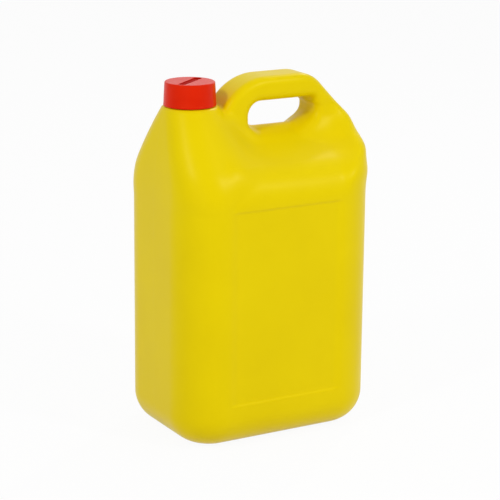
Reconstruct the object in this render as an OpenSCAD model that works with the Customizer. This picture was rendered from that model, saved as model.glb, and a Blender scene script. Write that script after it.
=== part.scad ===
// Plastic jerrycan of about five litres with a hollow moulded handle and a screw cap
// Millimetres, +Z up, origin on the ground in the middle of the base
// The wide faces look along -Y and +Y, the neck stands near the -X end

/* [Tank] */
// Width of the tank along X
body_width = 181; // [172:1:195]
// Depth of the tank along Y
body_depth = 128; // [122:1:136]
// Radius of the four upright corners
corner_radius = 37; // [33:1:42]
// Radius of the lower edge all round
base_radius = 28; // [22:1:31]
// Height at which the shoulder starts
shoulder_start = 200; // [190:1:204]
// Thickness of the moulded wall
wall = 1.2; // [1:0.1:1.6]

/* [Label panel] */
// Depth of the shallow panel on each wide face
panel_depth = 0.9; // [0.5:0.1:1.3]
// Width of the panel
panel_width = 106; // [80:1:106]
// Height of the lower ledge of the panel
panel_bottom = 38.5; // [34:0.5:50]

/* [Shoulder] */
// Distance of the neck axis from the neck end of the tank
neck_inset = 33.3; // [31.5:0.1:35.5]
// Height of the foot of the neck above the start of the shoulder
shoulder_rise = 78.7; // [77:0.1:82]
// Radius of the shoulder where it meets the foot of the neck
foot_radius = 22.6; // [22.2:0.1:23.5]
// Radius of the bend below the neck side of the shoulder
cone_bend = 53.7; // [48:0.1:58]
// Radius of the bend below the sloping scoop under the handle
scoop_bend = 35.6; // [32:0.1:38]
// Half width of the ridge left below the finger hole
ridge_half = 7; // [6:0.1:8]

/* [Handle] */
// Height of the top of the handle above the foot of the neck
handle_rise = 20.8; // [18:0.1:22]
// Thickness of the handle bar
bar_thickness = 20.2; // [18:0.1:21]
// Depth of the handle along Y
handle_depth = 34; // [30:1:37]
// Rounding of the handle edges
handle_rounding = 6.5; // [5:0.1:9.8]
// Height of the finger hole
hole_height = 23.9; // [22:0.1:26]
// Distance from the neck axis to the finger hole
hole_start = 47.5; // [46.5:0.1:49]
// Distance from the finger hole to the handle end of the tank
leg_width = 35.9; // [35.5:0.1:38]

/* [Neck] */
// Outer radius of the neck wall
neck_radius = 17.8; // [17.5:0.1:18]
// Thickness of the neck wall
neck_wall = 2; // [1.8:0.1:2.4]
// Height of the neck above its foot
neck_height = 15.8; // [15:0.1:16.5]

/* [Thread] */
// Climb of the thread for one turn
thread_pitch = 4.2; // [4.2:0.1:4.6]
// Number of turns of each thread ridge
thread_turns = 1.5; // [1.25:0.25:1.75]
// Height of the neck ridge over the neck wall
thread_height = 1.2; // [1:0.1:1.3]

/* [Cap] */
// Thickness of the wall of the cap at its lower edge
cap_wall = 2.25; // [2.05:0.05:2.6]
// How much narrower across the cap is at its top edge
cap_taper = 2; // [1:0.1:2.2]
// Gap between the shoulder and the lower edge of the cap
cap_gap = 0.5; // [0.4:0.1:0.8]
// Thickness of the top plate of the cap
cap_plate = 2.7; // [1.8:0.1:3]
// Rounding of the top edge of the cap
cap_rounding = 1; // [0.6:0.1:1.4]
// Width of the shallow groove across the top of the cap
groove_width = 6.5; // [4:0.5:9]
// Depth of that groove
groove_depth = 1.1; // [0.5:0.1:1.3]
// Thickness of the foam liner
liner_thickness = 1.5; // [1:0.1:2]

/* [Hidden] */
$fn = 96;
half_width = body_width / 2;
half_depth = body_depth / 2;
half_handle = handle_depth / 2;
// depth of the hollow under the base and width of the ring it stands on
base_push = 2;
foot_ring = 6;
// height at which the bends leave the upright walls
bend_start = shoulder_start + 3;
// bend of the flare that carries the far leg of the handle
flare_bend = 50;
// how much deeper than the handle its far leg is at its foot, and its near leg
leg_spread = 9;
near_spread = 4;
// places that follow from the sizes above
neck_offset = half_width - neck_inset;
foot_height = shoulder_start + shoulder_rise;
handle_top = foot_height + handle_rise;
hole_top = handle_top - bar_thickness;
valley_height = hole_top - hole_height;
hole_left = hole_start - neck_offset;
hole_right = half_width - leg_width;
left_shift = neck_inset - foot_radius;
// fit between the threads and the walls they pass
thread_gap = 0.35;
wall_gap = 0.4;
cap_inner = neck_radius + thread_height + wall_gap;
cap_thread = neck_radius + thread_gap;
cap_radius = cap_inner + cap_wall;
cap_top_radius = cap_radius - cap_taper / 2;
liner_radius = cap_inner - wall_gap;
rim_height = foot_height + neck_height;
cap_bottom = foot_height + cap_gap;
plate_bottom = rim_height + liner_thickness;
cap_top = plate_bottom + cap_plate;
groove_angle = 38;
// length of cap top left whole past the ends of the groove
groove_ends = 5;
groove_length = 2 * cap_top_radius - groove_ends;
bore_radius = neck_radius - neck_wall;
// overlap that joins pieces of one moulding
sink = 0.6;
// half distance kept between the two halves of a slice
seam_half = 0.4;
// rise over which the ridge closes at the top of the scoop
fold = 0.6;
far = 400;

can_body();
sealing_liner();
screw_cap();

// Helper functions

function soft_max(a, b, k) = k < 0.05 ? max(a, b)
    : let(h = max(k - abs(a - b), 0) / k) max(a, b) + h * h * k / 4;

// Half depth of a wall that stands upright, bends by an arc and then leans in a straight line
function leaning(z, bend, lean) =
    let(rise = z - bend_start, top = bend * sin(lean))
    rise <= 0 ? half_depth
    : rise < top ? half_depth - bend + sqrt(bend * bend - rise * rise)
    : half_depth - bend * (1 - cos(lean)) - (rise - top) * tan(lean);

// Lean with which such a wall arrives at the half depth goal at the height z, found by halving
function find_lean(z, bend, goal, low = 10, high = 80, steps = 30) = let(mid = (low + high) / 2)
    steps == 0 ? mid
    : leaning(z, bend, mid) > goal ? find_lean(z, bend, goal, mid, high, steps - 1)
    : find_lean(z, bend, goal, low, mid, steps - 1);
cone_lean = find_lean(foot_height, cone_bend, foot_radius);
scoop_lean = find_lean(valley_height, scoop_bend, ridge_half);
flare_lean = find_lean(valley_height, flare_bend, half_handle + leg_spread);

function cone_half(z) = leaning(z, cone_bend, cone_lean);
function scoop_half(z) = leaning(z, scoop_bend, scoop_lean);
function flare_half(z) = leaning(z, flare_bend, flare_lean);

// Left end of the shoulder, one long arc up to the foot of the neck
left_rise = foot_height - bend_start;
left_arc = (left_rise * left_rise + left_shift * left_shift) / (2 * left_shift);
function left_end(z) = let(rise = max(z - bend_start, 0))
    -half_width + left_arc - sqrt(left_arc * left_arc - rise * rise);

// Right end of the shoulder, upright and then an arc into the slope of the handle
slope_angle = 46.7;
slope_start = 4.2;
slope_top_x = hole_right - slope_start;
side_fillet = 30;
top_fillet = 28;
// radius that the upright corner has narrowed to where the scoop meets the sloping end
edge_fillet = 12;
edge_fall = 40;
slope_foot_z = handle_top - (half_width - slope_top_x) * tan(slope_angle);
side_turn = 90 - slope_angle;
side_reach = side_fillet * tan(side_turn / 2);
side_center = [half_width - side_fillet, slope_foot_z - side_reach];
top_center = [slope_top_x - top_fillet * tan(slope_angle / 2), handle_top - top_fillet];
function right_end(z) = z <= side_center[1] ? half_width
    : side_center[0] + sqrt(side_fillet * side_fillet - pow(z - side_center[1], 2));

// One level slice of the shoulder, wall inset w, front half from left to right. Below the ridge under
// the finger hole it reaches from end to end, and above it there is only the neck side.
corner_steps = 10;
base_steps = 7;
// least distance between two points of a slice where the neck side starts in the corner
least_step = 0.3;
cone_steps = 7;
scoop_steps = 5;
function left_radius(z) = let(part = (z - shoulder_start) / (foot_height - shoulder_start))
    min(corner_radius + (foot_radius - corner_radius) * part, cone_half(z));
function right_radius(z) = let(part = min(max((z - shoulder_start) / edge_fall, 0), 1))
    corner_radius + (edge_fillet - corner_radius) * part * part;
// The scoop is blended into the flare near the right end
flare_fall = 1.2;
function scoop_at(x, z, w, xr) = let(s = scoop_half(z) - w,
    f = flare_half(z) - w - flare_fall * max(xr - x, 0),
    k = min(6, 1.5 * (flare_half(z) - scoop_half(z)))) soft_max(s, f, k);
function cone_end(z) = min(asin(min(scoop_half(z) / cone_half(z), 1)), 76);

function wide_half(z, w) =
    let(d = cone_half(z) - w, s = scoop_half(z) - w, k = min(8, 1.5 * (d - s)),
        r = left_radius(z) - w, x = left_end(z) + w, e = cone_end(z),
        rr = right_radius(z) - w, xe = right_end(z) - w, xr = xe - rr, xs = -neck_offset + d * cos(e),
        f = flare_half(z) - w)
    concat(
        [for (i = [0:corner_steps]) let(a = 90 * i / corner_steps)
            [x + r - r * cos(a), -(d - r + r * sin(a))]],
        [for (i = [1:cone_steps]) let(a = 90 + (e - 90) * i / cone_steps)
            [max(-neck_offset + d * cos(a), x + r + least_step * i), -soft_max(d * sin(a), s, k)]],
        [for (i = [1:scoop_steps]) let(px = xs + (xr - xs) * pow(i / (scoop_steps + 1), 0.8),
            dx = min((px + neck_offset) / d, 1))
            [px, -soft_max(d * sqrt(1 - dx * dx), scoop_at(px, z, w, xr), k)]],
        [for (i = [0:corner_steps]) let(a = 90 * i / corner_steps)
            [xr + rr * sin(a), -(f - rr + rr * cos(a))]]);

function narrow_half(z, w) =
    let(d = cone_half(z) - w, r = left_radius(z) - w, x = left_end(z) + w,
        e = cone_end(valley_height), rest = scoop_steps + corner_steps + 1)
    concat(
        [for (i = [0:corner_steps]) let(a = 90 * i / corner_steps)
            [x + r - r * cos(a), -(d - r + r * sin(a))]],
        [for (i = [1:cone_steps]) let(a = 90 + (e - 90) * i / cone_steps)
            [-neck_offset + d * cos(a), -d * sin(a)]],
        [for (i = [1:rest]) let(a = e - (e - 3) * i / rest)
            [-neck_offset + d * cos(a), -d * sin(a)]]);

// The slice just over the ridge, with everything right of the neck side no wider than the ridge
function ridge_slice(w) = let(s = scoop_half(valley_height) - w,
    xs = -neck_offset + (cone_half(valley_height) - w) * cos(cone_end(valley_height)))
    [for (p = wide_half(valley_height, w)) p[0] > xs ? [p[0], max(p[1], -s)] : p];

function slice(z, w) = z <= valley_height ? wide_half(z, w)
    : z < valley_height + fold ? ridge_slice(w) : narrow_half(z, w);

// Whole ring at the height z from its front half
function ring(front, z) = let(n = len(front))
    concat([for (p = front) [p[0], min(p[1], -seam_half), z]],
        [for (i = [n - 1:-1:0]) [front[i][0], -min(front[i][1], -seam_half), z]]);

// Closed body from a list of rings, each with the same number of points, counterclockwise from above
module stack(rings) {
    n = len(rings[0]);
    m = len(rings);
    pts = [for (r = rings) for (p = r) p];
    faces = concat(
        [[for (i = [0:n - 1]) i]],
        [[for (i = [n - 1:-1:0]) (m - 1) * n + i]],
        [for (j = [0:m - 2]) for (i = [0:n - 1]) let(k = (i + 1) % n)
            [j * n + i, (j + 1) * n + i, (j + 1) * n + k]],
        [for (j = [0:m - 2]) for (i = [0:n - 1]) let(k = (i + 1) % n)
            [j * n + i, (j + 1) * n + k, j * n + k]]);
    polyhedron(points = pts, faces = faces, convexity = 6);
}

// Heights of the slices, closer together in the bends
bend_top = bend_start + scoop_bend * sin(scoop_lean);
levels = concat(
    [for (i = [1:6]) bend_start + (bend_top - bend_start) * sin(90 * i / 6)],
    [for (i = [1:4]) bend_top + (valley_height - bend_top) * i / 4],
    [valley_height + fold / 4],
    [for (i = [0:4]) valley_height + fold + (foot_height - valley_height - fold) * i / 4]);

// Ring of the rounded lower edge, inset w, at the angle t above the flat base
function base_ring(w, t) = let(
        span = half_width - corner_radius,
        part = (corner_radius - base_radius + (base_radius - w) * sin(t)) / (corner_radius - w))
    [for (p = wide_half(shoulder_start, w))
        let(q = [min(max(p[0], -span), span), corner_radius - half_depth]) q + (p - q) * part];

// Skin of the tank and the shoulder in one piece, inset w
module skin(w) {
    stack(concat(
        [for (i = [0:base_steps]) let(t = 90 * i / base_steps)
            ring(base_ring(w, t), base_radius - (base_radius - w) * cos(t))],
        [ring(base_ring(w, 90), shoulder_start)],
        [for (z = levels) ring(slice(z, w), z - w)]));
}

// Outline of the handle seen from the front. The neck end is one long arc, and the finger hole has
// a radius of its own in each corner.
crown_radius = 46;
crown_turn = 56;
crown_center = [hole_left + 17.7, handle_top - crown_radius];
hole_tl = 12;
hole_bl = 8;
hole_tr = 6;
hole_br = 14;
function around(c, r, a) = [c[0] + r * sin(a), c[1] + r * cos(a)];
inner_tl = [hole_left + hole_tl, hole_top - hole_tl];
inner_bl = [hole_left + hole_bl, valley_height + hole_bl];
inner_tr = [hole_right - hole_tr, hole_top - hole_tr];
inner_br = [hole_right - hole_br, valley_height + hole_br];
// both legs run down inside the shoulder, from the neck side and from the handle end
near_leg = -neck_offset + foot_radius - 1;
far_leg = half_width - 5;
leg_drop = 12;
leg_foot = valley_height - leg_drop;
leg_inner = inner_br[0] + 3;

// Sections of the handle from its near foot to its far foot, each an outer point, an inner point
// and the half depth there
near_foot = [
    [[near_leg, leg_foot], [inner_bl[0], leg_foot], half_handle + near_spread],
    for (i = [0:2]) [[near_leg - 1, valley_height + 1 + 4 * i],
        around(inner_bl, hole_bl, 215 + 55 * i / 2), half_handle + near_spread - 1 - i],
    [[near_leg + 0.5, foot_height - 5], around(inner_tl, hole_tl, 272), half_handle + 0.5]];
crown = [for (i = [0:5])
    [around(crown_center, crown_radius, crown_turn * (i / 5 - 1)),
        around(inner_tl, hole_tl, 75 * (i / 5 - 1)), half_handle]];
top_end = [
    [[top_center[0], handle_top], [inner_tr[0] - 3, hole_top], half_handle],
    for (i = [0:3]) [around(top_center, top_fillet, slope_angle * (i + 1) / 4),
        around(inner_tr, hole_tr, 90 * i / 3), half_handle]];
slope_high = around(top_center, top_fillet, slope_angle);
slope_low = around(side_center, side_fillet, slope_angle);
slope_side = [for (i = [0:4])
    [slope_high + (slope_low - slope_high) * (i + 1) / 5, around(inner_br, hole_br, 90 + 70 * i / 4),
        half_handle + leg_spread * pow(i / 4, 2) * 0.72]];
far_foot = [
    [around(side_center, side_fillet - 0.1, slope_angle + 8), [leg_inner, valley_height - 3],
        half_handle + leg_spread - 0.5],
    [around(side_center, side_fillet - 0.4, slope_angle + 17), [leg_inner, valley_height - 7],
        half_handle + leg_spread],
    [[far_leg, leg_foot], [leg_inner, leg_foot], half_handle + leg_spread - 1]];
handle_pairs = concat(near_foot, crown, top_end, slope_side, far_foot);

section_steps = 4;
function section(pair, w) =
    let(o = pair[0], i = pair[1], d = o - i, h = norm(d) / 2, u = d / norm(d), c = (o + i) / 2,
        a = h - w, b = pair[2] - w, r = min(handle_rounding, h - 0.2) - w)
    [for (q = [3:-1:0]) for (k = [section_steps:-1:0])
        let(t = 90 * q + 90 * k / section_steps,
            su = (q == 0 || q == 3) ? a - r : r - a, sy = q < 2 ? b - r : r - b,
            pu = su + r * cos(t), py = sy + r * sin(t))
        [c[0] + u[0] * pu, py, c[1] + u[1] * pu]];

module handle(w) {
    stack([for (p = handle_pairs) section(p, w)]);
}

// Ridge of a thread. Its ends fade out over a few steps.
helix_steps = 20;
fade_steps = 3;
fade_low = 0.15;
module helix(r_wall, r_tip, z0, foot, tip, turns) {
    steps = round(turns * helix_steps);
    function grow(i) = fade_low + (1 - fade_low) * min(1, min(i, steps - i) / fade_steps);
    stack([for (i = [0:steps]) let(a = 360 * turns * i / steps, z = z0 + thread_pitch * turns * i / steps,
        r = r_wall + (r_tip - r_wall) * grow(i), back = r_wall + sign(r_wall - r_tip) * sink)
        let(ring = [[back, -foot], [r, -tip], [r, tip], [back, foot]])
        [for (k = [0:3]) let(p = ring[r_tip > r_wall ? 3 - k : k])
            [p[0] * cos(a), p[0] * sin(a), z + p[1] / 2]]]);
}
ridge_foot = 2.2;
ridge_tip = 1;
cap_ridge_foot = 1.2;
cap_ridge_tip = 0.6;
thread_start = foot_height + thread_pitch;
// depth to which the bore runs down into the hollow shoulder
bore_run = 12;
// least overlap of a cutter past the face that it cuts
past = 1;
// depth to which the wall of the neck runs down into the shoulder
neck_sink = 3 * wall;

// The panel ends above where the shoulder starts to bend
panel_over = 1;
module panel(depth, grow) {
    for (s = [-1, 1])
        translate([-panel_width / 2 - grow, s > 0 ? half_depth - depth : -half_depth + depth - far,
            panel_bottom - grow])
            cube([panel_width + 2 * grow, far, shoulder_start + panel_over - panel_bottom + 2 * grow]);
}

module outside() {
    difference() {
        skin(0);
        panel(panel_depth, 0);
    }
    handle(0);
    translate([-neck_offset, 0, foot_height - neck_sink])
        cylinder(r = neck_radius, h = neck_height + neck_sink);
    translate([-neck_offset, 0, 0])
        helix(neck_radius, neck_radius + thread_height, thread_start, ridge_foot, ridge_tip, thread_turns);
}

module inside() {
    difference() {
        skin(wall);
        panel(panel_depth + wall, wall);
        base_hollow(wall);
    }
    handle(wall);
    translate([-neck_offset, 0, foot_height - bore_run]) cylinder(r = bore_radius, h = far);
}

module can_body() {
    color([0.89, 0.8, 0.03])
    difference() {
        outside();
        inside();
        base_hollow(0);
    }
}

// Shallow hollow that leaves a flat ring to stand on, grown by g for the floor above it
module base_hollow(g) {
    hw = half_width - base_radius - foot_ring + g;
    hd = half_depth - base_radius - foot_ring + g;
    r = corner_radius - base_radius + g;
    for (sx = [-1, 1]) for (sy = [-1, 1]) translate([sx * (hw - r), sy * (hd - r), -far])
        cylinder(r = r, h = far + base_push + g);
    translate([-hw + r, -hd, -far]) cube([2 * (hw - r), 2 * hd, far + base_push + g]);
    translate([-hw, -hd + r, -far]) cube([2 * hw, 2 * (hd - r), far + base_push + g]);
}

module sealing_liner() {
    color([0.93, 0.93, 0.9])
    translate([-neck_offset, 0, rim_height]) cylinder(r = liner_radius, h = liner_thickness);
}

cap_chamfer = 0.4;
module cap_outline() {
    rb = cap_radius;
    rt = cap_top_radius;
    polygon(concat(
        [[0, cap_bottom], [rb - cap_chamfer, cap_bottom], [rb, cap_bottom + cap_chamfer]],
        [for (i = [0:6]) let(a = 90 * i / 6)
            [rt - cap_rounding + cap_rounding * cos(a), cap_top - cap_rounding + cap_rounding * sin(a)]],
        [[0, cap_top]]));
}

module screw_cap() {
    color([0.87, 0.17, 0.06])
    translate([-neck_offset, 0, 0])
    difference() {
        union() {
            difference() {
                rotate_extrude() cap_outline();
                translate([0, 0, cap_bottom - past])
                    cylinder(r = cap_inner, h = plate_bottom - cap_bottom + past);
            }
            helix(cap_inner, cap_thread, thread_start - thread_pitch / 2, cap_ridge_foot, cap_ridge_tip,
                thread_turns);
        }
        rotate([0, 0, groove_angle])
            translate([-groove_length / 2, -groove_width / 2, cap_top - groove_depth])
            cube([groove_length, groove_width, groove_depth + past]);
    }
}
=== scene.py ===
import bpy
import bmesh
import math
import numpy as np
from mathutils import Matrix, Vector


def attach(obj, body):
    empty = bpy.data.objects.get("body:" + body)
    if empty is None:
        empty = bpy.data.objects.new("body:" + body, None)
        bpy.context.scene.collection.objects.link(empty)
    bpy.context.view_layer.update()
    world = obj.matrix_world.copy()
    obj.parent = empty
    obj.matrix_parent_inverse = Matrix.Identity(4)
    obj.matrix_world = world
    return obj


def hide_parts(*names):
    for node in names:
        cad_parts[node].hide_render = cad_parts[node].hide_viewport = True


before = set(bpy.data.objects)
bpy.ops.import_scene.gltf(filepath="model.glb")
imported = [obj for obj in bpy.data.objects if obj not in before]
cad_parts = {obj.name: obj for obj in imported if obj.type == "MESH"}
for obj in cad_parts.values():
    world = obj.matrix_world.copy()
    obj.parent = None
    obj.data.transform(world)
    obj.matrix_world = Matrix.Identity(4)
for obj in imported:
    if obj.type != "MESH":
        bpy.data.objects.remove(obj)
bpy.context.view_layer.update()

MM = 0.001
rad = math.radians

# Sizes in millimetres, as in the CAD. X runs along the width and Z up.
# Tank
WIDTH, DEPTH = 181.0, 128.0
HW, HD = WIDTH / 2, DEPTH / 2
CORNER, BASE_R = 37.0, 28.0
WALL = 1.2
# Shallow panel on the wide faces
PANEL_D, PANEL_HW, PANEL_Z0, PANEL_Z1 = 0.9, 53.0, 38.5, 201.0
PANEL_END_IN, PANEL_END_OUT = 7.0, 1.0
PANEL_STEP, PANEL_TOP_STEP = 1.2, 1.6
PANEL_FACE = (40.0, 50.0)
# Hollow under the base, with the spans over which it fades
HOLLOW_D, HOLLOW_X, HOLLOW_Y, HOLLOW_Z = 2.0, (52.0, 57.0), (25.5, 30.5), (6.0, 12.0)
# Shoulder. Its walls bend from BEND upward and then lean.
BEND = 203.0
JOIN_Z = 200.0
NECK_X, FOOT_Z, FOOT_R = -57.2, 278.7, 22.6
FOOT_EDGE = 1.5
CONE_BEND, SCOOP_BEND, SCOOP_LEAN = 53.7, 35.6, 61.2
FLARE_BEND, FLARE_LEAN, FLARE_ROUND = 50.0, 55.2, 6.0
SCOOP_BLEND, SCOOP_BLEND_Z = 10, (206, 226)
# Spans over which the crease between the neck side and the scoop is filled
CREASE_X, CREASE_Z = (-57, 22), (205, 246)
# Fillet between the two sides of the shoulder, and its width beside the neck
SIDES_FILLET, SIDES_FILLET_Z, SIDES_FILLET_X = 14, (206, 236), (-75, -45)
NECK_FILLET, NECK_FILLET_Z = 2.0, (266, 279)
# Handle and finger hole
TOP, HOLE_TOP = 299.5, 279.3
HOLE_L, HOLE_R, VALLEY = -9.7, 54.6, 255.4
HOLE_TOP_LEFT_R, HOLE_TOP_RIGHT_R, HOLE_LOW_RIGHT_R, HOLE_LOW_LEFT_R = 12, 6, 14, 8
VALLEY_DIP = 9
HANDLE_HD, HANDLE_R, HANDLE_LOW = 17.0, 6.5, 228
HANDLE_BLEND, HANDLE_BLEND_Z, FAR_LEG_X = 9.0, (HANDLE_LOW, 240), (30, 62)
LEG_CORNER, LEG_CORNER_RISE, LEG_EDGE_Z = 12.0, 40, (248, 264)
# Span over which the handle side takes its corner radius from the neck side, leftward
EDGE_X = (45, 70)
RIDGE, RIDGE_SPAN = 4.4, (225, 250)
SLOPE = 46.7
SLOPE_X = HOLE_R - 4.2
SIDE_F, TOP_F = 30.0, 28.0
LEG_C, LEG_R = (8.0, TOP - 46.0), 46.0
# Neck and thread
NECK_R, NECK_WALL, RIM_Z = 17.8, 2.0, 294.5
BORE_R = NECK_R - NECK_WALL
PITCH, TURNS, THREAD_H, THREAD_GAP = 4.2, 1.5, 1.2, 0.35
RIDGE_FOOT, RIDGE_TIP, CAP_RIDGE_FOOT, CAP_RIDGE_TIP = 2.2, 1.0, 1.2, 0.6
COLLAR = 0.9
NECK_SINK, BORE_SINK, BORE_PAST = 3, 12, 5
# Cap and liner
CAP_LOW, CAP_HIGH, CAP_R, CAP_TOP_R, CAP_IN, PLATE_Z = 279.2, 298.7, 21.65, 20.65, 19.4, 296.0
CAP_ROUND = 1.1
GROOVE_HALF, GROOVE_HALF_WIDE, GROOVE_D, GROOVE_TURN = 18.2, 3.25, 1.1, 38
LINER_R, LINER_T = 19.0, 1.5
# Sides of the turned pieces, and the angles past which their edges are sharp
NECK_SIDES, CAP_SIDES, LINER_SIDES = 144, 160, 96
CAP_SHARP, LINER_SHARP = 38, 50
# Grid lines of the can's outside and inside: start, end and step, with finer spans for panel and shoulder
OUT_X, OUT_Y, OUT_Z = (-93.0, 93.0, 2.0), (-67.0, 67.0, 2.0), (-3.1, 302.5, 2.2)
FINE_Z = ((33.5, 40.5, 0.6), (197.0, 204.5, 0.6), (204.5, 300, 1.8))
IN_X, IN_Y, IN_Z = (-92.0, 92.0, 3.2), (-65.6, 65.6, 3.2), (-1.1, 301.0, 3.4)
# Light: shares and strengths of the stage
WORLD_LIGHT, FLOOR_SEEN, FLOOR_GREY, FLOOR_HALF = 0.56, 0.94, 0.86, 6.0


# Blends
def smoothstep(a, b, t):
    u = np.clip((t - a) / (b - a), 0.0, 1.0)
    return u * u * (3 - 2 * u)


def soft_min(a, b, k):
    h = np.clip(k - np.abs(a - b), 0, None) / np.maximum(k, 1e-6)
    return np.minimum(a, b) - h * h * k * 0.25


def soft_max(a, b, k):
    return -soft_min(-a, -b, k)


def round_max(a, b, r):
    # meeting of two walls with a fillet of radius r between them
    return np.minimum(-r, np.maximum(a, b)) + np.hypot(np.maximum(a + r, 0), np.maximum(b + r, 0))


def round_box(qx, qy, r):
    # distance to a corner of radius r, from the distances past its centre lines
    return np.minimum(np.maximum(qx, qy), 0) + np.hypot(np.maximum(qx, 0), np.maximum(qy, 0)) - r


# Curves of the can
def leaning(z, bend, lean):
    # half depth of a wall that stands upright, bends by an arc and then leans in a straight line
    lean = rad(lean)
    rise = np.maximum(z - BEND, 0)
    top = bend * math.sin(lean)
    arc_part = HD - bend + np.sqrt(np.maximum(bend * bend - np.minimum(rise, top) ** 2, 0))
    return arc_part - np.maximum(rise - top, 0) * math.tan(lean)


def find_cone_lean():
    # lean at which the neck side arrives at the foot of the neck
    low, high = 20.0, 60.0
    for _ in range(40):
        mid = (low + high) / 2
        if leaning(np.float64(FOOT_Z), CONE_BEND, mid) > FOOT_R:
            low = mid
        else:
            high = mid
    return (low + high) / 2


CONE_LEAN = find_cone_lean()


def arc(c, r, a0, a1, n):
    # angles are measured from straight up, clockwise
    angles = [rad(a0 + (a1 - a0) * i / n) for i in range(n + 1)]
    return [(c[0] + r * math.sin(a), c[1] + r * math.cos(a)) for a in angles]


SHIFT = HW + NECK_X - FOOT_R
RISE = FOOT_Z - BEND
LEFT_ARC = (RISE * RISE + SHIFT * SHIFT) / (2 * SHIFT)
LEFT_RISE = 90
SLOPE_FOOT = TOP - (HW - SLOPE_X) * math.tan(rad(SLOPE))
SIDE_C = (HW - SIDE_F, SLOPE_FOOT - SIDE_F * math.tan(rad((90 - SLOPE) / 2)))
TOP_C = (SLOPE_X - TOP_F * math.tan(rad(SLOPE / 2)), TOP - TOP_F)


def left_end(z):
    rise = np.clip(z - BEND, 0, LEFT_RISE)
    return -HW + LEFT_ARC - np.sqrt(LEFT_ARC ** 2 - rise ** 2)


def left_radius(z):
    t = np.clip((z - JOIN_Z) / (FOOT_Z - JOIN_Z), 0, 1)
    return np.minimum(CORNER + (FOOT_R - CORNER) * t, np.maximum(leaning(z, CONE_BEND, CONE_LEAN), 5))


def right_end(z):
    a = np.clip(z - SIDE_C[1], 0, SIDE_F * 0.999)
    return SIDE_C[0] + np.sqrt(SIDE_F ** 2 - a * a)


def right_radius(z):
    # from the tank's corner to the corner of the leg, and then to the edge of the handle
    t = np.clip((z - JOIN_Z) / LEG_CORNER_RISE, 0, 1.4)
    leg = (LEG_CORNER - CORNER) * soft_min(t * t, 1 + 0 * t, 0.35)
    return CORNER + leg + (HANDLE_R - LEG_CORNER) * smoothstep(*LEG_EDGE_Z, z)


# Outline of the handle side, seen from the front. It closes inside the neck side and the tank.
OUTLINE_LOW = 150
OUTLINE = np.array(
    [(-HW + 0.6, OUTLINE_LOW), (HW, OUTLINE_LOW)]
    + arc(SIDE_C, SIDE_F, 90, SLOPE, 16)
    + arc(TOP_C, TOP_F, SLOPE, 0, 16)
    + arc(LEG_C, LEG_R, 0, -76, 26)
    + [(-57, 236), (-80, 226), (-HW + 0.9, 214)])
# The finger hole runs below the valley, where the scoop's own walls end it
HOLE = np.array(
    arc((HOLE_L + HOLE_TOP_LEFT_R, HOLE_TOP - HOLE_TOP_LEFT_R), HOLE_TOP_LEFT_R, -90, 0, 12)
    + arc((HOLE_R - HOLE_TOP_RIGHT_R, HOLE_TOP - HOLE_TOP_RIGHT_R), HOLE_TOP_RIGHT_R, 0, 90, 8)
    + arc((HOLE_R - HOLE_LOW_RIGHT_R, VALLEY + HOLE_LOW_RIGHT_R), HOLE_LOW_RIGHT_R, 90, 150, 12)
    + [(HOLE_R - 18, VALLEY - VALLEY_DIP), (HOLE_L + 10, VALLEY - VALLEY_DIP)]
    + arc((HOLE_L + HOLE_LOW_LEFT_R, VALLEY + HOLE_LOW_LEFT_R), HOLE_LOW_LEFT_R, 215, 270, 8))


def poly_distance(x, z, pts):
    # signed distance to a closed outline, negative inside
    d = np.full(x.shape, 1e18)
    inside = np.zeros(x.shape, bool)
    for i in range(len(pts)):
        ax, az = pts[i]
        bx, bz = pts[i - 1]
        ex, ez = bx - ax, bz - az
        wx, wz = x - ax, z - az
        t = np.clip((wx * ex + wz * ez) / max(ex * ex + ez * ez, 1e-12), 0, 1)
        d = np.minimum(d, (wx - ex * t) ** 2 + (wz - ez * t) ** 2)
        if az != bz:
            inside ^= ((az > z) != (bz > z)) & (x < (bx - ax) * (z - az) / (bz - az) + ax)
    return np.where(inside, -1, 1) * np.sqrt(d)


def half_depth(x, z):
    # half depth of the scoop under the handle and of the flare that carries the right leg
    scoop = leaning(z, SCOOP_BEND, SCOOP_LEAN)
    corner_start = right_end(z) - right_radius(z)
    flare = leaning(z, FLARE_BEND, FLARE_LEAN) - soft_max(corner_start - x, 0 * x, FLARE_ROUND)
    wall = soft_max(scoop, flare, SCOOP_BLEND * smoothstep(*SCOOP_BLEND_Z, z))
    # a wide fillet fills the foot of the crease beside the neck side
    cone = leaning(z, CONE_BEND, CONE_LEAN)
    return wall + (cone - wall) * (1 - smoothstep(*CREASE_X, x)) * (1 - smoothstep(*CREASE_Z, z))


def tank_field(x, ya, z):
    # tank with rounded upright corners and lower edge
    return round_max(round_box(np.abs(x) - HW + CORNER, ya - HD + CORNER, CORNER), -z, BASE_R)


def neck_side_field(x, y, ya, z):
    d = leaning(z, CONE_BEND, CONE_LEAN)
    r = left_radius(z)
    left = round_box(left_end(z) + r - x, ya - d + r, r)
    right = np.hypot(x - NECK_X, y) - d
    sine = math.sin(rad(CONE_LEAN))
    bent = np.clip((z - BEND) / (CONE_BEND * sine), 0, 1)
    cone = np.where(x < NECK_X, left, right) * np.cos(np.arcsin(bent * sine))
    return round_max(cone, z - FOOT_Z, FOOT_EDGE)


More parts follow.
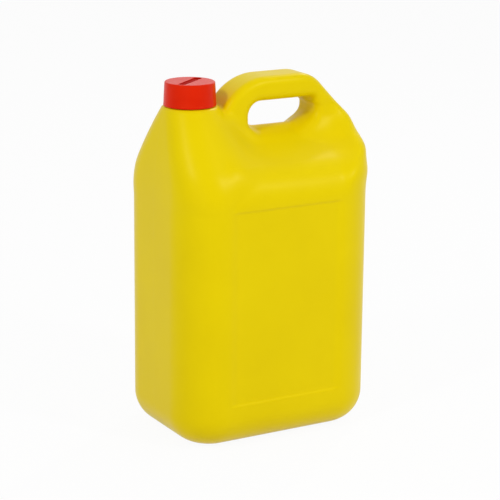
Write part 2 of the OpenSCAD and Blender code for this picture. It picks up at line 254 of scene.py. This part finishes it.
def handle_side_field(x, ya, z):
    e = 0.5
    depth = half_depth(x, z)
    gx = (half_depth(x + e, z) - half_depth(x - e, z)) / (2 * e)
    gz = (half_depth(x, z + e) - half_depth(x, z - e)) / (2 * e)
    slope = np.sqrt(1 + np.minimum(gx * gx + gz * gz, 9))
    # the two walls of the scoop meet in a rounded ridge under the hole
    ridge = RIDGE * smoothstep(*RIDGE_SPAN, z)
    face = (np.sqrt(ya * ya + ridge * ridge) - depth) / slope
    # the handle is a slab with the finger hole through it, blended wider into the far leg
    slab = round_max(ya - HANDLE_HD, -poly_distance(x, z, HOLE), HANDLE_R)
    blend = (HANDLE_BLEND + HANDLE_BLEND * smoothstep(*FAR_LEG_X, x)) * smoothstep(*HANDLE_BLEND_Z, z)
    face = np.where(z > HANDLE_LOW, soft_min(face, slab, blend), face)
    edge = right_radius(z) + (left_radius(z) - right_radius(z)) * smoothstep(*EDGE_X, -x)
    return round_max(face, poly_distance(x, z, OUTLINE), edge)


def can_field(x, y, z):
    # negative inside the can and about the distance in millimetres near its surface
    ya = np.abs(y)
    neck_side = neck_side_field(x, y, ya, z)
    handle_side = handle_side_field(x, ya, z)
    # the fillet between the two sides is wide low down and narrow beside the neck
    k = SIDES_FILLET * smoothstep(*SIDES_FILLET_Z, z) * smoothstep(*SIDES_FILLET_X, x)
    near = smoothstep(*NECK_FILLET_Z, z)
    k = k * (1 - near) + NECK_FILLET * near
    f = np.where(z < JOIN_Z, tank_field(x, ya, z), soft_min(neck_side, handle_side, k))
    ax = np.abs(x)
    low_edge = smoothstep(PANEL_Z0 - PANEL_STEP, PANEL_Z0 + PANEL_STEP, z)
    high_edge = 1 - smoothstep(PANEL_Z1 - PANEL_TOP_STEP, PANEL_Z1 + PANEL_STEP, z)
    ends = 1 - smoothstep(PANEL_HW - PANEL_END_IN, PANEL_HW + PANEL_END_OUT, ax)
    panel = low_edge * high_edge * ends * smoothstep(*PANEL_FACE, ya)
    hollow = (1 - smoothstep(*HOLLOW_X, ax)) * (1 - smoothstep(*HOLLOW_Y, ya))
    hollow = hollow * (1 - smoothstep(*HOLLOW_Z, z))
    return f + PANEL_D * panel + HOLLOW_D * hollow


# Meshes
def surface_nets(field, xs, ys, zs, level=0.0):
    # quads along the surface where the field has the given level
    axes = (xs, ys, zs)
    values = np.empty([len(a) for a in axes])
    gx, gy = np.meshgrid(xs, ys, indexing="ij")
    for k, z in enumerate(zs):
        values[:, :, k] = field(gx, gy, np.full(gx.shape, z)) - level
    neg = values < 0
    cells = [len(a) - 1 for a in axes]
    sums = np.zeros(cells + [3])
    count = np.zeros(cells)
    cuts = []
    for ax in range(3):
        a = [slice(None)] * 3
        b = [slice(None)] * 3
        a[ax], b[ax] = slice(0, -1), slice(1, None)
        fa, fb = values[tuple(a)], values[tuple(b)]
        cut = neg[tuple(a)] != neg[tuple(b)]
        idx = np.argwhere(cut)
        t = fa[cut] / (fa[cut] - fb[cut])
        p = np.stack([axes[i][idx[:, i]] for i in range(3)], 1).astype(float)
        p[:, ax] += t * (axes[ax][idx[:, ax] + 1] - axes[ax][idx[:, ax]])
        o1, o2 = [i for i in range(3) if i != ax]
        for d1 in (0, 1):
            for d2 in (0, 1):
                c = idx.copy()
                c[:, o1] -= d1
                c[:, o2] -= d2
                np.add.at(sums, (c[:, 0], c[:, 1], c[:, 2]), p)
                np.add.at(count, (c[:, 0], c[:, 1], c[:, 2]), 1)
        cuts.append((idx, neg[tuple(a)][cut]))
    active = count > 0
    number = np.full(active.shape, -1)
    number[active] = np.arange(active.sum())
    verts = sums[active] / count[active][:, None]
    quads = []
    for ax, (idx, start_inside) in enumerate(cuts):
        o1, o2 = (ax + 1) % 3, (ax + 2) % 3
        ring = []
        for d1, d2 in ((0, 0), (1, 0), (1, 1), (0, 1)):
            c = idx.copy()
            c[:, o1] -= d1
            c[:, o2] -= d2
            ring.append(number[c[:, 0], c[:, 1], c[:, 2]])
        q = np.stack(ring, 1)
        q[~start_inside] = q[~start_inside][:, ::-1]
        quads.append(q)
    return verts, np.concatenate(quads)


def settle(field, v, level=0.0, rounds=4):
    # moves the points onto the surface along the field's slope, by 1 mm at most in a round
    e = 0.05
    for _ in range(rounds):
        f = field(v[:, 0], v[:, 1], v[:, 2]) - level
        g = np.stack([
            field(v[:, 0] + e, v[:, 1], v[:, 2]) - field(v[:, 0] - e, v[:, 1], v[:, 2]),
            field(v[:, 0], v[:, 1] + e, v[:, 2]) - field(v[:, 0], v[:, 1] - e, v[:, 2]),
            field(v[:, 0], v[:, 1], v[:, 2] + e) - field(v[:, 0], v[:, 1], v[:, 2] - e)], 1) / (2 * e)
        g2 = np.maximum((g * g).sum(1), 0.2)
        step = -(f / g2)[:, None] * g
        length = np.linalg.norm(step, axis=1)[:, None]
        v = v + step * np.minimum(1, 1.0 / np.maximum(length, 1e-9))
    return v


def axis_steps(low, high, step, fine=()):
    # grid lines from low to past high, closer together in the fine spans
    out = [low]
    while out[-1] < high:
        s = step
        for a, b, f in fine:
            if a <= out[-1] < b:
                s = f
        out.append(out[-1] + s)
    return np.array(out)


def fix_normals(o):
    bm = bmesh.new()
    bm.from_mesh(o.data)
    bmesh.ops.recalc_face_normals(bm, faces=bm.faces)
    bm.to_mesh(o.data)
    bm.free()


def smooth_shade(o):
    o.data.polygons.foreach_set("use_smooth", [True] * len(o.data.polygons))


def mesh_object(name, verts, faces):
    me = bpy.data.meshes.new(name)
    me.from_pydata((np.asarray(verts) * MM).tolist(), [], [list(map(int, f)) for f in faces])
    me.validate()
    me.update()
    o = bpy.data.objects.new(name, me)
    bpy.context.collection.objects.link(o)
    smooth_shade(o)
    fix_normals(o)
    return o


def skin(name, xs, ys, zs, level=0.0):
    verts, quads = surface_nets(can_field, xs, ys, zs, level)
    return mesh_object(name, settle(can_field, verts, level), quads)


def lathe(name, profile, n):
    # closed profile of (radius, height) points, turned about the neck; points on the axis are one vertex
    verts, rows = [], []
    for r, z in profile:
        if r < 1e-9:
            rows.append([len(verts)] * n)
            verts.append((NECK_X, 0.0, z))
        else:
            rows.append(list(range(len(verts), len(verts) + n)))
            for i in range(n):
                a = 2 * math.pi * i / n
                verts.append((NECK_X + r * math.cos(a), r * math.sin(a), z))
    faces = []
    m = len(profile)
    for j in range(m):
        a, b = rows[j], rows[(j + 1) % m]
        if a[0] == a[1] and b[0] == b[1]:
            continue
        for i in range(n):
            k = (i + 1) % n
            q = []
            for v in (a[i], a[k], b[k], b[i]):
                if v not in q:
                    q.append(v)
            faces.append(q)
    return mesh_object(name, verts, faces)


def helix(name, r_wall, r_tip, z0, foot, tip, per_turn=72):
    # thread ridge that fades in and out at its ends and sinks a little into its wall
    steps = int(round(TURNS * per_turn))
    fade = per_turn * 0.12
    sink = 0.6
    out = r_tip > r_wall
    back = r_wall - sink if out else r_wall + sink
    verts, faces = [], []
    for i in range(steps + 1):
        g = min(1.0, min(i, steps - i) / fade)
        g = g * g * (3 - 2 * g)
        r = r_wall + (r_tip - r_wall) * (0.02 + 0.98 * g)
        a = 2 * math.pi * TURNS * i / steps
        z = z0 + PITCH * TURNS * i / steps
        mid = r_wall + (r - r_wall) * 0.8
        ring = [(back, -foot), (r_wall, -foot * 0.92), (mid, -tip * 1.25), (r, -tip * 0.7),
                (r, tip * 0.7), (mid, tip * 1.25), (r_wall, foot * 0.92), (back, foot)]
        if out:
            ring = ring[::-1]
        for p, h in ring:
            verts.append((NECK_X + p * math.cos(a), p * math.sin(a), z + h / 2))
    n = 8
    for i in range(steps):
        for k in range(n):
            a, b = i * n + k, i * n + (k + 1) % n
            faces.append((a, b, b + n, a + n))
    faces.append(tuple(range(n))[::-1])
    faces.append(tuple(steps * n + k for k in range(n)))
    return mesh_object(name, verts, faces)


def groove_cutter(name, half_len, half_wide, depth, angle):
    # slot with bulging ends that narrows downward and has a rounded upper edge
    levels = [(1.0, 0.5), (0.05, 0.42), (-0.12, 0.2), (-0.45, 0.08), (-depth + 0.12, -0.02),
              (-depth, -0.2)]
    end_steps = 12
    c, q = math.cos(rad(angle)), math.sin(rad(angle))
    verts, faces = [], []
    for rise, grow in levels:
        w = half_wide + grow
        bulge = 0.55 * w
        for side, start in ((1, -90), (-1, 90)):
            for k in range(end_steps + 1):
                a = rad(start + 180 * k / end_steps)
                x, y = side * (half_len - bulge) + bulge * math.cos(a), w * math.sin(a)
                verts.append((NECK_X + x * c - y * q, x * q + y * c, CAP_HIGH + rise))
    n = 2 * (end_steps + 1)
    last = (len(levels) - 1) * n
    for j in range(0, last, n):
        for i in range(n):
            k = (i + 1) % n
            faces.append((j + i, j + k, j + n + k, j + n + i))
    faces.append(tuple(range(n)))
    faces.append(tuple(range(last, last + n))[::-1])
    return mesh_object(name, verts, faces)


def combine(base, tool, kind):
    mod = base.modifiers.new("join", "BOOLEAN")
    mod.operation = kind
    mod.solver = "MANIFOLD"
    mod.object = tool
    dg = bpy.context.evaluated_depsgraph_get()
    me = bpy.data.meshes.new_from_object(base.evaluated_get(dg))
    base.modifiers.clear()
    old = base.data
    base.data = me
    bpy.data.meshes.remove(old)
    bpy.data.objects.remove(tool, do_unlink=True)


# The can: tank, shoulder, hollow handle and threaded neck in one piece
can = skin("can_shell", axis_steps(*OUT_X), axis_steps(*OUT_Y), axis_steps(*OUT_Z, FINE_Z))
inner = skin("can_inside", axis_steps(*IN_X), axis_steps(*IN_Y), axis_steps(*IN_Z), -WALL)
neck = lathe("can_neck", [
    (0, FOOT_Z - NECK_SINK), (NECK_R + COLLAR, FOOT_Z - NECK_SINK), (NECK_R + COLLAR, FOOT_Z),
    (NECK_R + 0.5, FOOT_Z + 0.25), (NECK_R + 0.15, FOOT_Z + 0.6), (NECK_R, FOOT_Z + 1.1),
    (NECK_R, RIM_Z - 0.6), (NECK_R - 0.18, RIM_Z - 0.18), (NECK_R - 0.6, RIM_Z), (0, RIM_Z)], NECK_SIDES)
thread = helix("neck_thread", NECK_R, NECK_R + THREAD_H, FOOT_Z + PITCH, RIDGE_FOOT, RIDGE_TIP)
combine(neck, thread, "UNION")
combine(can, neck, "UNION")
bore = lathe("neck_bore", [
    (0, FOOT_Z - BORE_SINK), (BORE_R, FOOT_Z - BORE_SINK), (BORE_R, RIM_Z - 0.5),
    (BORE_R + 0.15, RIM_Z - 0.15), (BORE_R + 0.5, RIM_Z), (BORE_R + 0.5, RIM_Z + BORE_PAST),
    (0, RIM_Z + BORE_PAST)], NECK_SIDES)
combine(inner, bore, "UNION")
combine(can, inner, "DIFFERENCE")
smooth_shade(can)
can.name = "can_shell"
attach(can, "can")
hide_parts("can_body")

# The cap, with a rounded top edge, a lead-in below, the inner thread and the groove across its top
fillet = arc((CAP_TOP_R - CAP_ROUND, CAP_HIGH - CAP_ROUND), CAP_ROUND, 84, 0, 7)
cap = lathe("cap_shell", [
    (CAP_IN + 0.6, CAP_LOW), (CAP_R - 0.45, CAP_LOW), (CAP_R - 0.12, CAP_LOW + 0.13), (CAP_R, CAP_LOW + 0.45),
    (CAP_R - 0.03, CAP_LOW + 1.5), (CAP_R - 0.14, CAP_LOW + 1.72), (CAP_R - 0.2, CAP_LOW + 2.1),
    (CAP_R - 0.45, CAP_LOW + 9.0)] + fillet + [
    (CAP_TOP_R - 2.2, CAP_HIGH - 0.02), (12.0, CAP_HIGH - 0.1), (5.0, CAP_HIGH - 0.17), (0, CAP_HIGH - 0.18),
    (0, PLATE_Z), (CAP_IN - 0.5, PLATE_Z), (CAP_IN, PLATE_Z - 0.5), (CAP_IN, CAP_LOW + 0.8)], CAP_SIDES)
thread = helix("cap_thread", CAP_IN, NECK_R + THREAD_GAP, FOOT_Z + PITCH / 2, CAP_RIDGE_FOOT, CAP_RIDGE_TIP)
combine(cap, thread, "UNION")
groove = groove_cutter("cap_groove", GROOVE_HALF, GROOVE_HALF_WIDE, GROOVE_D, GROOVE_TURN)
combine(cap, groove, "DIFFERENCE")
smooth_shade(cap)
cap.data.set_sharp_from_angle(angle=rad(CAP_SHARP))
cap.name = "cap_shell"
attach(cap, "cap")
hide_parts("screw_cap")

liner = lathe("foam_liner", [
    (0, RIM_Z), (LINER_R - 0.3, RIM_Z), (LINER_R - 0.08, RIM_Z + 0.1), (LINER_R, RIM_Z + 0.32),
    (LINER_R, RIM_Z + LINER_T - 0.32), (LINER_R - 0.08, RIM_Z + LINER_T - 0.1),
    (LINER_R - 0.3, RIM_Z + LINER_T), (0, RIM_Z + LINER_T)], LINER_SIDES)
liner.data.set_sharp_from_angle(angle=rad(LINER_SHARP))
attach(liner, "liner")
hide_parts("sealing_liner")


# Materials
def srgb(r, g, b):
    def lin(c):
        return c / 12.92 if c <= 0.04045 else ((c + 0.055) / 1.055) ** 2.4
    return (lin(r), lin(g), lin(b), 1.0)


class Nodes:
    def __init__(self, name):
        self.mat = bpy.data.materials.new(name)
        self.mat.use_nodes = True
        self.tree = self.mat.node_tree
        self.shader = self.tree.nodes["Principled BSDF"]
        self.coord = self.add("ShaderNodeTexCoord").outputs["Object"]

    def add(self, kind, **values):
        n = self.tree.nodes.new(kind)
        for k, v in values.items():
            setattr(n, k, v)
        return n

    def link(self, a, b):
        self.tree.links.new(a, b)

    def set(self, **values):
        for name, v in values.items():
            self.shader.inputs[name.replace("_", " ")].default_value = v

    def noise(self, scale, detail=2.0, rough=0.5):
        n = self.add("ShaderNodeTexNoise")
        n.inputs["Scale"].default_value = scale
        n.inputs["Detail"].default_value = detail
        n.inputs["Roughness"].default_value = rough
        self.link(self.coord, n.inputs["Vector"])
        return n.outputs["Fac"]

    def ramp(self, fac, stops):
        n = self.add("ShaderNodeValToRGB")
        e = n.color_ramp.elements
        while len(e) < len(stops):
            e.new(0.5)
        for el, (pos, col) in zip(e, stops):
            el.position = pos
            el.color = col
        self.link(fac, n.inputs["Fac"])
        return n.outputs["Color"]

    def remap(self, fac, a, b, c, d):
        n = self.add("ShaderNodeMapRange")
        for name, v in (("From Min", a), ("From Max", b), ("To Min", c), ("To Max", d)):
            n.inputs[name].default_value = v
        self.link(fac, n.inputs["Value"])
        return n.outputs["Result"]

    def math(self, op, *values):
        n = self.add("ShaderNodeMath", operation=op)
        for socket, v in zip(n.inputs, values):
            self.link(v, socket)
        return n.outputs[0]

    def bump(self, height, strength, distance, normal=None):
        n = self.add("ShaderNodeBump")
        n.inputs["Strength"].default_value = strength
        n.inputs["Distance"].default_value = distance
        self.link(height, n.inputs["Height"])
        if normal is not None:
            self.link(normal, n.inputs["Normal"])
        return n.outputs["Normal"]


def yellow_plastic():
    m = Nodes("yellow_polyethylene_satin")
    s = m.shader
    cloud = m.noise(14.0, 3.0, 0.55)
    stops = [(0.3, srgb(0.9, 0.798, 0.0)), (0.5, srgb(0.908, 0.808, 0.0)), (0.72, srgb(0.916, 0.818, 0.0))]
    m.link(m.ramp(cloud, stops), s.inputs["Base Color"])
    grain = m.remap(m.noise(180.0), 0.3, 0.7, -0.01, 0.01)
    m.link(m.math("ADD", m.remap(cloud, 0.3, 0.7, 0.32, 0.37), grain), s.inputs["Roughness"])
    # slow waves of the blown wall, and the line where the halves of the mould met
    sep = m.add("ShaderNodeSeparateXYZ")
    m.link(m.coord, sep.inputs[0])
    seam = m.remap(m.math("ABSOLUTE", sep.outputs["Y"]), 0.0001, 0.0004, 1.0, 0.0)
    waves = m.bump(m.noise(22.0, 1.0, 0.4), 0.35, 0.0012)
    m.link(m.bump(seam, 0.5, 0.0001, waves), s.inputs["Normal"])
    m.set(IOR=1.22, Specular_IOR_Level=0.5, Specular_Tint=(1.0, 0.95, 0.4, 1.0))
    return m.mat


def red_plastic(name, dark, light, smooth, gloss):
    m = Nodes(name)
    s = m.shader
    m.link(m.ramp(m.noise(60.0), [(0.3, srgb(*dark)), (0.7, srgb(*light))]), s.inputs["Base Color"])
    m.link(m.remap(m.noise(500.0), 0.3, 0.7, smooth, smooth + 0.08), s.inputs["Roughness"])
    waves = m.bump(m.noise(90.0, 1.0, 0.5), 0.25, 0.00025)
    m.link(m.bump(m.noise(1400.0), 0.2, 0.00004, waves), s.inputs["Normal"])
    m.set(IOR=1.34, Specular_IOR_Level=gloss, Specular_Tint=(1.0, 0.35, 0.2, 1.0))
    return m.mat


def foam():
    m = Nodes("white_foam_cells")
    s = m.shader
    v = m.add("ShaderNodeTexVoronoi")
    v.inputs["Scale"].default_value = 1500.0
    m.link(m.coord, v.inputs["Vector"])
    cells = v.outputs["Distance"]
    stops = [(0.0, srgb(0.86, 0.86, 0.83)), (0.5, srgb(0.94, 0.94, 0.91))]
    m.link(m.ramp(cells, stops), s.inputs["Base Color"])
    m.link(m.remap(m.noise(800.0), 0.3, 0.7, 0.7, 0.85), s.inputs["Roughness"])
    m.link(m.bump(cells, 0.4, 0.00015), s.inputs["Normal"])
    return m.mat


def give(o, *mats):
    o.data.materials.clear()
    for mat in mats:
        o.data.materials.append(mat)


give(can, yellow_plastic())
# the floor of the groove is matt, and its darker red is painted shade for the recess
give(cap, red_plastic("red_polypropylene_smooth", (0.85, 0.12, 0.01), (0.872, 0.145, 0.02), 0.3, 0.4),
     red_plastic("red_polypropylene_matt_painted_shade", (0.66, 0.075, 0.03), (0.7, 0.09, 0.04), 0.62, 0.08))
# faces on the groove floor take the matt material with the painted shade
for p in cap.data.polygons:
    c = p.center / MM
    below_top = CAP_HIGH - 1.5 < c.z < CAP_HIGH - 0.3
    in_reach = math.hypot(c.x - NECK_X, c.y) < GROOVE_HALF + 0.4
    if below_top and in_reach and p.normal.z > -0.2:
        p.material_index = 1
give(liner, foam())


# Floor, backdrop and light
def add_node(tree, kind, **inputs):
    n = tree.nodes.new(kind)
    for name, v in inputs.items():
        n.inputs[name].default_value = v
    return n


def white_mix(tree, lit, white, share, out):
    # what the camera, gloss and clear parts see is white by the given share; all else meets the lit shader
    path = tree.nodes.new("ShaderNodeLightPath")
    seen = path.outputs["Is Camera Ray"]
    for ray in ("Is Glossy Ray", "Is Transmission Ray"):
        either = tree.nodes.new("ShaderNodeMath")
        either.operation = "MAXIMUM"
        tree.links.new(seen, either.inputs[0])
        tree.links.new(path.outputs[ray], either.inputs[1])
        seen = either.outputs[0]
    part = tree.nodes.new("ShaderNodeMath")
    part.operation = "MULTIPLY"
    part.inputs[1].default_value = share
    mix = tree.nodes.new("ShaderNodeMixShader")
    tree.links.new(seen, part.inputs[0])
    tree.links.new(part.outputs[0], mix.inputs[0])
    tree.links.new(lit.outputs[0], mix.inputs[1])
    tree.links.new(white.outputs[0], mix.inputs[2])
    tree.links.new(mix.outputs[0], out.inputs[0])


WHITE = (1, 1, 1, 1)
mat = bpy.data.materials.new("floor_white")
mat.use_nodes = True
tree = mat.node_tree
tree.nodes.clear()
white_mix(tree, add_node(tree, "ShaderNodeBsdfDiffuse", Color=(FLOOR_GREY, FLOOR_GREY, FLOOR_GREY, 1)),
          add_node(tree, "ShaderNodeEmission", Color=WHITE, Strength=1.0), FLOOR_SEEN,
          add_node(tree, "ShaderNodeOutputMaterial"))

bm = bmesh.new()
bmesh.ops.create_grid(bm, x_segments=2, y_segments=2, size=FLOOR_HALF)
me = bpy.data.meshes.new("studio_floor")
bm.to_mesh(me)
bm.free()
floor = bpy.data.objects.new("studio_floor", me)
bpy.context.collection.objects.link(floor)
floor.data.materials.append(mat)

world = bpy.data.worlds.new("studio")
bpy.context.scene.world = world
world.use_nodes = True
tree = world.node_tree
tree.nodes.clear()
white_mix(tree, add_node(tree, "ShaderNodeBackground", Color=WHITE, Strength=WORLD_LIGHT),
          add_node(tree, "ShaderNodeBackground", Color=WHITE, Strength=1.0), 1.0,
          add_node(tree, "ShaderNodeOutputWorld"))


def lamp(name, bearing, height, reach, size_x, size_y, watts):
    # stands at a bearing and a height in degrees about a point in the can, and faces that point
    target = Vector((0, 0, 0.2))
    a, b = rad(bearing), rad(height)
    away = reach * Vector((math.sin(a) * math.cos(b), -math.cos(a) * math.cos(b), math.sin(b)))
    data = bpy.data.lights.new(name, "AREA")
    data.shape = "RECTANGLE"
    data.size, data.size_y = size_x, size_y
    data.energy = watts
    o = bpy.data.objects.new(name, data)
    o.location = target + away
    o.rotation_euler = (-away).to_track_quat("-Z", "Y").to_euler()
    bpy.context.collection.objects.link(o)


lamp("key_softbox", 25, 32, 1.7, 0.15, 0.15, 7.6)
lamp("side_softbox", -66, 38, 1.7, 0.12, 0.22, 6.4)
lamp("back_softbox", 125, 40, 1.7, 0.12, 0.12, 4.0)
lamp("front_fill", -48, 8, 2.0, 1.2, 1.0, 1.6)

# Camera at the photograph's place, in metres
CAM_PLACE = (-0.78518, -1.35455, 0.57485)
cam_data = bpy.data.cameras.new("photo_camera")
cam_data.lens = 138.5
cam_data.sensor_width = 36.0
cam_data.clip_start, cam_data.clip_end = 0.05, 50
cam = bpy.data.objects.new("photo_camera", cam_data)
bpy.context.collection.objects.link(cam)
ahead = Vector((0.48425594, 0.83478079, -0.26198706)).normalized()
right = Vector((0.86624, -0.49955, 0.00938))
right = (right - ahead * right.dot(ahead)).normalized()
up = right.cross(ahead).normalized()
rows = [(right[i], up[i], -ahead[i], CAM_PLACE[i]) for i in range(3)]
cam.matrix_world = Matrix(rows + [(0, 0, 0, 1)])
bpy.context.scene.camera = cam
bpy.context.scene.view_settings.view_transform = "Standard"
